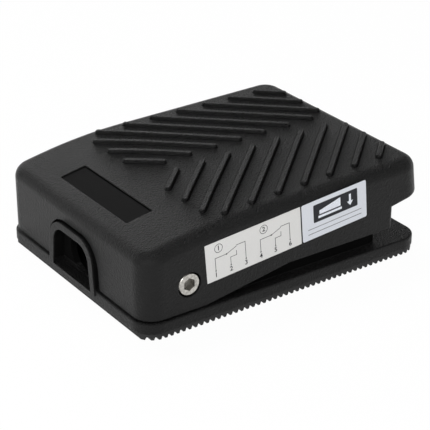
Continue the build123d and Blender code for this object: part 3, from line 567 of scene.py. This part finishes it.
class PlasticSettings(bpy.types.PropertyGroup):
    cover_colour: FloatVectorProperty(
        name="Cover colour", description="Colour of the pedal cover", subtype="COLOR",
        default=(0.008, 0.008, 0.008),
    )
    tray_colour: FloatVectorProperty(
        name="Tray colour", description="Colour of the base tray and the cable clamp", subtype="COLOR",
        default=(0.007, 0.007, 0.007),
    )
    inlay_colour: FloatVectorProperty(
        name="Inlay colour", description="Colour of the thin plate on the heel", subtype="COLOR",
        default=(0.004, 0.004, 0.004),
    )
    mat_colour: FloatVectorProperty(
        name="Mat colour", description="Colour of the ribbed rubber mat", subtype="COLOR",
        default=(0.007, 0.007, 0.007),
    )
    cover_roughness: FloatProperty(
        name="Cover roughness", description="How matt the pedal cover is", subtype="FACTOR",
        default=0.33, min=0.0, max=1.0,
    )
    grain_size: FloatProperty(
        name="Grain size", description="Size of the moulded grain", subtype="DISTANCE",
        default=0.85 * MM,
    )
    grain_depth: FloatProperty(
        name="Grain depth", description="Depth of the moulded grain", subtype="DISTANCE",
        default=1.4 * MM,
    )
    edge_wear: FloatProperty(
        name="Edge wear", description="Radius to which shoes have worn the cover's edges",
        subtype="DISTANCE", default=0.6 * MM,
    )
    sheen: FloatProperty(
        name="Sheen", description="How strongly the black plastics reflect", subtype="FACTOR",
        default=0.15, min=0.0, max=1.0,
    )


class MetalSettings(bpy.types.PropertyGroup):
    nickel_colour: FloatVectorProperty(
        name="Nickel colour", description="Colour of the plated hinge screws", subtype="COLOR",
        default=(0.62, 0.6, 0.56),
    )
    steel_colour: FloatVectorProperty(
        name="Steel colour", description="Colour of the bracket, washers, nuts and screws",
        subtype="COLOR", default=(0.55, 0.56, 0.58),
    )
    brass_colour: FloatVectorProperty(
        name="Brass colour", description="Colour of the inserts and terminals", subtype="COLOR",
        default=(0.75, 0.58, 0.28),
    )
    nickel_roughness: FloatProperty(
        name="Nickel roughness", description="How dull the hinge screws are", subtype="FACTOR",
        default=0.3, min=0.0, max=1.0,
    )


class SpringSettings(bpy.types.PropertyGroup):
    wire: FloatProperty(
        name="Wire", description="Thickness of the return springs' wire", subtype="DISTANCE",
        default=1.0 * MM,
    )
    turns: FloatProperty(
        name="Turns", description="Turns of each return spring, closed ends included", default=7.5,
    )
    closed: FloatProperty(
        name="Closed turns", description="Closed turns at each end of a return spring", default=1.0,
    )
    pressed: FloatProperty(
        name="Pressed length",
        description="Length of a return spring with the pedal down, as a share of that at rest",
        subtype="FACTOR", default=0.74, min=0.1, max=1.0,
    )


class LabelSettings(bpy.types.PropertyGroup):
    heel_distance: FloatProperty(
        name="Heel distance", description="From the heel of the cover to the first label",
        subtype="DISTANCE", default=30.05 * MM,
    )
    height: FloatProperty(
        name="Height", description="Height of the first label's lower corner over the floor",
        subtype="DISTANCE", default=17.9 * MM,
    )
    tilt: FloatProperty(
        name="Tilt", description="How far the labels rise towards the toe", subtype="ANGLE",
        default=radians(4.9),
    )
    diagram_length: FloatProperty(
        name="Diagram length", description="Length of the label with the contact diagram",
        subtype="DISTANCE", default=47.9 * MM,
    )
    sign_length: FloatProperty(
        name="Sign length", description="Length of the label with the pedal sign", subtype="DISTANCE",
        default=34.35 * MM,
    )
    width: FloatProperty(
        name="Width", description="Width of both labels", subtype="DISTANCE", default=17.6 * MM,
    )
    gap: FloatProperty(
        name="Gap", description="Gap between the two labels", subtype="DISTANCE", default=0.7 * MM,
    )
    thickness: FloatProperty(
        name="Thickness", description="Thickness of the label film", subtype="DISTANCE",
        default=0.12 * MM,
    )
    line_width: FloatProperty(
        name="Line width", description="Width of the printed lines", subtype="DISTANCE",
        default=0.24 * MM,
    )
    diagram_colour: FloatVectorProperty(
        name="Diagram label colour", description="Colour of the first label's film", subtype="COLOR",
        default=(0.74, 0.735, 0.72),
    )
    sign_colour: FloatVectorProperty(
        name="Sign label colour", description="Colour of the second label's film", subtype="COLOR",
        default=(0.72, 0.745, 0.8),
    )
    ink_colour: FloatVectorProperty(
        name="Ink colour", description="Colour of the print", subtype="COLOR",
        default=(0.02, 0.021, 0.025),
    )


class StudioSettings(bpy.types.PropertyGroup):
    camera_turn: FloatProperty(
        name="Camera turn", description="Turn of the camera from the near side towards the heel",
        subtype="ANGLE", default=radians(34.84),
    )
    camera_rise: FloatProperty(
        name="Camera rise", description="Angle at which the camera looks down", subtype="ANGLE",
        default=radians(26.61),
    )
    camera_distance: FloatProperty(
        name="Camera distance", description="From the middle of the base to the camera",
        subtype="DISTANCE", default=705.5 * MM,
    )
    camera_right: FloatProperty(
        name="Camera right", description="Sideways place of the camera", subtype="DISTANCE",
        default=0.65 * MM,
    )
    camera_up: FloatProperty(
        name="Camera up", description="Upward place of the camera", subtype="DISTANCE",
        default=12.73 * MM,
    )
    lens: FloatProperty(
        name="Lens", description="Focal length for a 36 mm wide sensor, in millimetres", default=132.04,
    )
    far_sky: FloatProperty(
        name="Far sky", description="Brightness of the surroundings on the far side", default=3.7,
    )
    near_sky: FloatProperty(
        name="Near sky", description="Brightness of the surroundings on the near side", default=1.15,
    )
    toe_sky: FloatProperty(
        name="Sky at the toe", description="Brightness of the surroundings on the toe's side",
        default=0.06,
    )
    key_light: FloatProperty(
        name="Key light", description="Power of the softbox over the heel, in watts", default=4.5,
    )
    top_light: FloatProperty(
        name="Top light", description="Power of the softbox overhead, in watts", default=3.4,
    )


class FOOTSWITCH_OT_finish_plastics(bpy.types.Operator):
    """Gives the cover, the tray, the inlay, the clamp and the mat their finishes"""

    bl_idname = "foot_switch.finish_plastics"
    bl_label = "Finish Plastics"

    def execute(self, context):
        look = context.scene.foot_switch_plastic
        # The cover's mask paints shade in the corners beside its ribs.
        cover = moulded_plastic(
            "cover_plastic", look.cover_colour, look.cover_roughness, look.grain_size, look.grain_depth,
            sheen=look.sheen, wear=look.edge_wear, shade_mask=rib_corner_shade,
        )
        tray_roughness = look.cover_roughness + 0.06
        # The tray's mask paints shade on its walls under the cover and in the cable recess.
        tray = moulded_plastic(
            "tray_plastic", look.tray_colour, tray_roughness, look.grain_size, look.grain_depth,
            sheen=look.sheen, shade_mask=tray_recess_shade,
        )
        smooth_grain, smooth_depth, matt_sheen = 0.4 * MM, 0.02 * MM, look.sheen / 8
        inlay = moulded_plastic(
            # The inlay's mask paints shade along its toe and far edges.
            "inlay_plate", look.inlay_colour, 0.5, smooth_grain, smooth_depth, mottle=0.2,
            sheen=matt_sheen, shade_mask=inlay_rim_shade,
        )
        dress(["pedal_cover"], cover)
        dress(["base_frame", "cable_clamp"], tray)
        dress(["inlay_plate"], inlay)
        dress(["rubber_mat"], ribbed_rubber("mat_rubber", look.mat_colour, 0.72))
        return {"FINISHED"}


class FOOTSWITCH_OT_finish_metals(bpy.types.Operator):
    """Gives the screws, washers, nuts, springs, levers and contacts their finishes"""

    bl_idname = "foot_switch.finish_metals"
    bl_label = "Finish Metals"

    def execute(self, context):
        look = context.scene.foot_switch_metal
        nickel = turned_nickel("nickel", look.nickel_colour, look.nickel_roughness)
        bright_steel, bronze_colour = scaled(look.steel_colour, 1.1), scaled(look.brass_colour, 0.85)
        zinc = plated_metal("zinc_steel", look.steel_colour, roughness=0.38)
        spring = plated_metal("spring_steel", bright_steel, roughness=0.26, tarnish=0.06)
        brass = plated_metal("brass", look.brass_colour, roughness=0.32)
        bronze = plated_metal("contact_bronze", bronze_colour, roughness=0.3, tarnish=0.15)
        dress(["hinge_screws"], nickel)
        dress(["hinge_washers", "switch_bracket", "switch_bolts", "switch_nuts"], zinc)
        dress(["bracket_screws", "actuator_screws", "actuator_nuts", "clamp_screws"], zinc)
        dress(["hinge_inserts", "left_terminals", "right_terminals"], brass)
        for side in ("left", "right"):
            dress([f"{side}_lever", f"{side}_lever_pin", f"{side}_return_spring"], spring)
            dress([f"{side}_contact_blade"], bronze)
        return {"FINISHED"}


class FOOTSWITCH_OT_wind_springs(bpy.types.Operator):
    """Winds the two return springs in place of the CAD springs"""

    bl_idname = "foot_switch.wind_springs"
    bl_label = "Wind Springs"

    def execute(self, context):
        look = context.scene.foot_switch_spring
        for side in ("left", "right"):
            node = f"{side}_return_spring"
            low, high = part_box(node)
            mesh = spring_mesh(f"{side}_spring_coil", low, high, look.wire, look.turns, look.closed)
            coil = new_piece(f"{side}_spring_coil", mesh, NODES[node].data.materials[0], "base")
            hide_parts(node)
            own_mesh(coil)
        return {"FINISHED"}


class FOOTSWITCH_OT_finish_switches(bpy.types.Operator):
    """Gives the snap switches and the hinge bushes their finishes"""

    bl_idname = "foot_switch.finish_switches"
    bl_label = "Finish Switches"

    def execute(self, context):
        black, red, ivory = (0.03, 0.027, 0.024), (0.45, 0.03, 0.02), (0.72, 0.7, 0.64)
        grain, shallow, faint = 0.3 * MM, 0.02 * MM, 0.01 * MM
        case = moulded_plastic("switch_plastic", black, 0.4, grain, shallow)
        plunger = moulded_plastic("plunger_plastic", red, 0.28, grain, faint)
        bush = moulded_plastic("bush_plastic", ivory, 0.35, grain, faint, mottle=0.05)
        for side in ("left", "right"):
            dress([f"{side}_switch_case", f"{side}_switch_lid"], case)
            dress([f"{side}_plunger"], plunger)
        dress(["hinge_bushes"], bush)
        return {"FINISHED"}


def add_changeover(work, face, u, v, width, height, line, lift, numbers):
    """Adds a changeover contact: a moving arm, the contact that it leaves and the one that it meets."""
    step = width / 2
    arm_v, rest_v, open_v = v + height * 0.72, v + height, v + height * 0.45
    pivot_u, contact_u = u + step * 0.75, u + step * 1.4
    add_stroke(work, face, [(u, v), (u, arm_v), (pivot_u, arm_v)], line, lift)
    add_stroke(work, face, [(pivot_u, arm_v), (contact_u, rest_v - line * 2)], line, lift)
    add_stroke(work, face, [(u + step, v), (u + step, open_v), (contact_u, open_v),
                            (contact_u, arm_v - line)], line, lift)
    add_stroke(work, face, [(u + width, v), (u + width, rest_v), (contact_u, rest_v)], line, lift)
    add_disc(work, face, pivot_u, arm_v, line * 1.6, lift)
    numeral_drop = 1.9 * MM
    for index, number in enumerate(numbers):
        add_disc(work, face, u + step * index, v, line * 1.4, lift)
        add_numeral(work, face, number, NUMERAL_SIZE, u + step * index, v - numeral_drop, lift)


def add_arrow(work, face, u, v, height, lift):
    """Adds an arrow that points down, with its tip at (u, v)."""
    head, neck = height * 0.3, height * 0.1
    add_shape(work, face, [
        (u, v), (u + head, v + head * 1.3), (u + neck, v + head * 1.3), (u + neck, v + height),
        (u - neck, v + height), (u - neck, v + head * 1.3), (u - head, v + head * 1.3),
    ], lift)


def add_pedal_sign(work, face, u, v, length, lift):
    """Adds a plain side view of a foot switch: a flat base and, above it, the wedge of its pedal."""
    base, gap, heel, toe = length * 0.09, length * 0.05, length * 0.14, length * 0.32
    add_shape(work, face, [(u, v), (u + length, v), (u + length, v + base), (u, v + base)], lift)
    low = v + base + gap
    add_shape(work, face, [
        (u + gap, low), (u + length - gap, low), (u + length - gap, low + toe), (u + gap, low + heel),
    ], lift)


class FOOTSWITCH_OT_make_labels(bpy.types.Operator):
    """Makes the two side labels: one with a plain contact diagram and one with a pedal sign"""

    bl_idname = "foot_switch.make_labels"
    bl_label = "Make Labels"

    def execute(self, context):
        look = context.scene.foot_switch_label
        face = SidePanelFrame(COVER_LOW.x + look.heel_distance, look.height, look.tilt)
        sign_start = look.diagram_length + look.gap
        first = rounded_outline(0, 0, look.diagram_length, look.width, 0.3 * MM)
        second = rounded_outline(sign_start, 0, sign_start + look.sign_length, look.width, 0.8 * MM)
        lift = look.thickness + 0.02 * MM
        ink = printing_ink("print", look.ink_colour)
        pieces = (
            self.lay_film("diagram", face, first, look.thickness, look.diagram_colour),
            self.lay_film("sign", face, second, look.thickness, look.sign_colour),
            self.print_diagram(face, look.line_width, lift, ink),
            *self.print_sign(face, look, sign_start, lift, ink),
        )
        return {"FINISHED"}

    def lay_film(self, name, face, outline, thickness, colour):
        mesh = film_mesh(f"{name}_label", face, outline, thickness, thickness / 3)
        return new_piece(f"{name}_label", mesh, label_film(f"{name}_film", colour), "pedal")

    def print_diagram(self, face, line, lift, ink):
        """Two numbered changeover contacts, one for each switch."""
        contact_v, contact_width, contact_height = 4.4 * MM, 15 * MM, 8.0 * MM
        ring_inset, ring_v, ring_radius = 2.0 * MM, 14.3 * MM, 1.9 * MM
        work = bmesh.new()
        for number, u, terminals in (("1", 4.5 * MM, "123"), ("2", 27 * MM, "456")):
            add_changeover(work, face, u, contact_v, contact_width, contact_height, line, lift, terminals)
            add_ring(work, face, u + ring_inset, ring_v, ring_radius, line, lift)
            add_numeral(work, face, number, NUMERAL_SIZE, u + ring_inset, ring_v, lift)
        return new_piece("diagram_print", print_mesh("diagram_print", work), ink, "pedal")

    def print_sign(self, face, look, start, lift, ink):
        """A dark panel over two ruled lines, and on it a white pedal sign with an arrow."""
        left, bottom, right, top = start + 6 * MM, 7.2 * MM, start + 29.5 * MM, 15.6 * MM
        line_inset, line_heights = 3 * MM, (2.6 * MM, 4.9 * MM)
        sign_inset, sign_length, arrow_inset, arrow_height = 2.5 * MM, 12.5 * MM, 4 * MM, 5.4 * MM
        foot = bottom + 1.5 * MM
        work = bmesh.new()
        add_shape(work, face, rounded_outline(left, bottom, right, top, 0.5 * MM), lift)
        for v in line_heights:
            ends = [(start + line_inset, v), (start + look.sign_length - line_inset, v)]
            add_stroke(work, face, ends, look.line_width, lift)
        panel = new_piece("sign_panel", print_mesh("sign_panel", work), ink, "pedal")
        work = bmesh.new()
        over = lift + 0.02 * MM
        add_pedal_sign(work, face, left + sign_inset, foot, sign_length, over)
        add_arrow(work, face, right - arrow_inset, foot, arrow_height, over)
        white = printing_ink("sign_white", look.sign_colour)
        return panel, new_piece("pedal_sign", print_mesh("pedal_sign", work), white, "pedal")


class FOOTSWITCH_OT_set_stage(bpy.types.Operator):
    """Sets the pale floor, the surroundings, the softboxes and the camera"""

    bl_idname = "foot_switch.set_stage"
    bl_label = "Set Stage"

    def execute(self, context):
        look = context.scene.foot_switch_studio
        self.lay_floor()
        self.light_surroundings(context.scene, look)
        self.hang_softboxes(look)
        self.place_camera(context.scene, look)
        context.scene.view_settings.view_transform = "Standard"
        return {"FINISHED"}

    def lay_floor(self):
        """A wide, white floor that keeps the object's shadow."""
        mesh = bpy.data.meshes.new("floor")
        reach, seen_white = 3.0, 0.97
        corners = [(-reach, -reach, 0), (reach, -reach, 0), (reach, reach, 0), (-reach, reach, 0)]
        mesh.from_pydata(corners, [], [(0, 1, 2, 3)])
        floor = bpy.data.objects.new("floor", mesh)
        bpy.context.scene.collection.objects.link(floor)
        material, shader = new_shader("floor_paint")
        direct = shader.ray("Is Camera Ray") + shader.ray("Is Transmission Ray")
        seen = direct + shader.ray("Is Glossy Ray")
        paint = shader.node("ShaderNodeBsdfDiffuse", None, {"Color": (0.9, 0.9, 0.9, 1.0)})
        white = shader.node("ShaderNodeEmission", None, {"Color": (1.0, 1.0, 1.0, 1.0), "Strength": 1.0})
        shader.finish(shader.blend(seen * seen_white, paint, white))
        mesh.materials.append(material)

    def light_surroundings(self, scene, look):
        """White to the eye and at the horizon; for the rest a bright far and a dimmer near side."""
        world = bpy.data.worlds.new("surroundings")
        scene.world = world
        shader = Shader(world)
        direction = shader.node("ShaderNodeTexCoord", output="Generated")
        toeward, farward, rise = (shader.axis(direction, name) for name in "XYZ")
        dark_flag = (1.0 - toeward.ramp(-0.05, 0.38)) * rise.ramp(-0.05, 0.15)
        far = farward.ramp(0.0, 0.5) * (1.0 - dark_flag) * look.far_sky
        below_zenith = 1.0 - rise.ramp(0.35, 0.85)
        near = (1.0 - farward.ramp(-0.1, 0.2)) * below_zenith * look.near_sky
        away_from_toe = 1.0 - toeward.ramp(0.1, 0.8)
        glow = away_from_toe * (far + near) + look.toe_sky
        ambient = shader.node("ShaderNodeBackground", None, {"Strength": glow})
        white = shader.node("ShaderNodeBackground", None, {"Strength": 1.0})
        horizon = 1.0 - rise.ramp(0.0, 0.06)
        seen = shader.ray("Is Camera Ray") + shader.ray("Is Transmission Ray")
        surface = shader.blend(seen + shader.ray("Is Glossy Ray") * horizon, ambient, white)
        shader.node("ShaderNodeOutputWorld", None, {"Surface": surface})

    def hang_softboxes(self, look):
        """Two square softboxes, turned to the middle of the base."""
        boxes = (
            ("softbox_key", (-0.6, -0.42, 0.55), 0.5, look.key_light),
            ("softbox_top", (-0.05, 0.4, 0.8), 0.3, look.top_light),
        )
        for name, place, side, power in boxes:
            lamp = bpy.data.lights.new(name, "AREA")
            lamp.shape = "SQUARE"
            lamp.size = side
            lamp.energy = power
            holder = bpy.data.objects.new(name, lamp)
            holder.location = place
            holder.rotation_euler = Vector(place).to_track_quat("Z", "Y").to_euler()
            bpy.context.scene.collection.objects.link(holder)

    def place_camera(self, scene, look):
        """A long lens that looks across the base, at its own turn and rise."""
        turn, rise = look.camera_turn, look.camera_rise
        back = Vector((-sin(turn) * cos(rise), -cos(turn) * cos(rise), sin(rise)))
        right = Vector((cos(turn), -sin(turn), 0))
        up = back.cross(right)
        place = back * look.camera_distance + right * look.camera_right + up * look.camera_up
        lens = bpy.data.cameras.new("camera")
        lens.sensor_width = 36.0
        lens.lens = look.lens
        lens.clip_start = 0.01
        camera = bpy.data.objects.new("camera", lens)
        turned = Matrix((right, up, back)).transposed().to_4x4()
        camera.matrix_world = Matrix.Translation(place) @ turned
        scene.collection.objects.link(camera)
        scene.camera = camera


class FOOTSWITCH_PT_steps(bpy.types.Panel):
    """The steps that dress the foot switch"""

    bl_idname = "FOOTSWITCH_PT_steps"
    bl_label = "Foot Switch"
    bl_space_type = "VIEW_3D"
    bl_region_type = "UI"
    bl_category = "Foot Switch"

    def draw(self, context):
        for step in STEPS:
            self.layout.operator(step.bl_idname)


SETTINGS = {
    "foot_switch_plastic": PlasticSettings,
    "foot_switch_metal": MetalSettings,
    "foot_switch_spring": SpringSettings,
    "foot_switch_label": LabelSettings,
    "foot_switch_studio": StudioSettings,
}
STEPS = (
    FOOTSWITCH_OT_finish_plastics,
    FOOTSWITCH_OT_finish_metals,
    FOOTSWITCH_OT_finish_switches,
    FOOTSWITCH_OT_wind_springs,
    FOOTSWITCH_OT_make_labels,
    FOOTSWITCH_OT_set_stage,
)


def register():
    for group in (*SETTINGS.values(), *STEPS, FOOTSWITCH_PT_steps):
        bpy.utils.register_class(group)
    for name, group in SETTINGS.items():
        setattr(bpy.types.Scene, name, PointerProperty(type=group))


def unregister():
    for name in SETTINGS:
        delattr(bpy.types.Scene, name)
    for group in (FOOTSWITCH_PT_steps, *reversed(STEPS), *SETTINGS.values()):
        bpy.utils.unregister_class(group)


def main():
    register()
    bpy.ops.foot_switch.finish_plastics()
    bpy.ops.foot_switch.finish_metals()
    bpy.ops.foot_switch.finish_switches()
    bpy.ops.foot_switch.wind_springs()
    bpy.ops.foot_switch.make_labels()
    bpy.ops.foot_switch.set_stage()


if __name__ == "__main__":
    main()
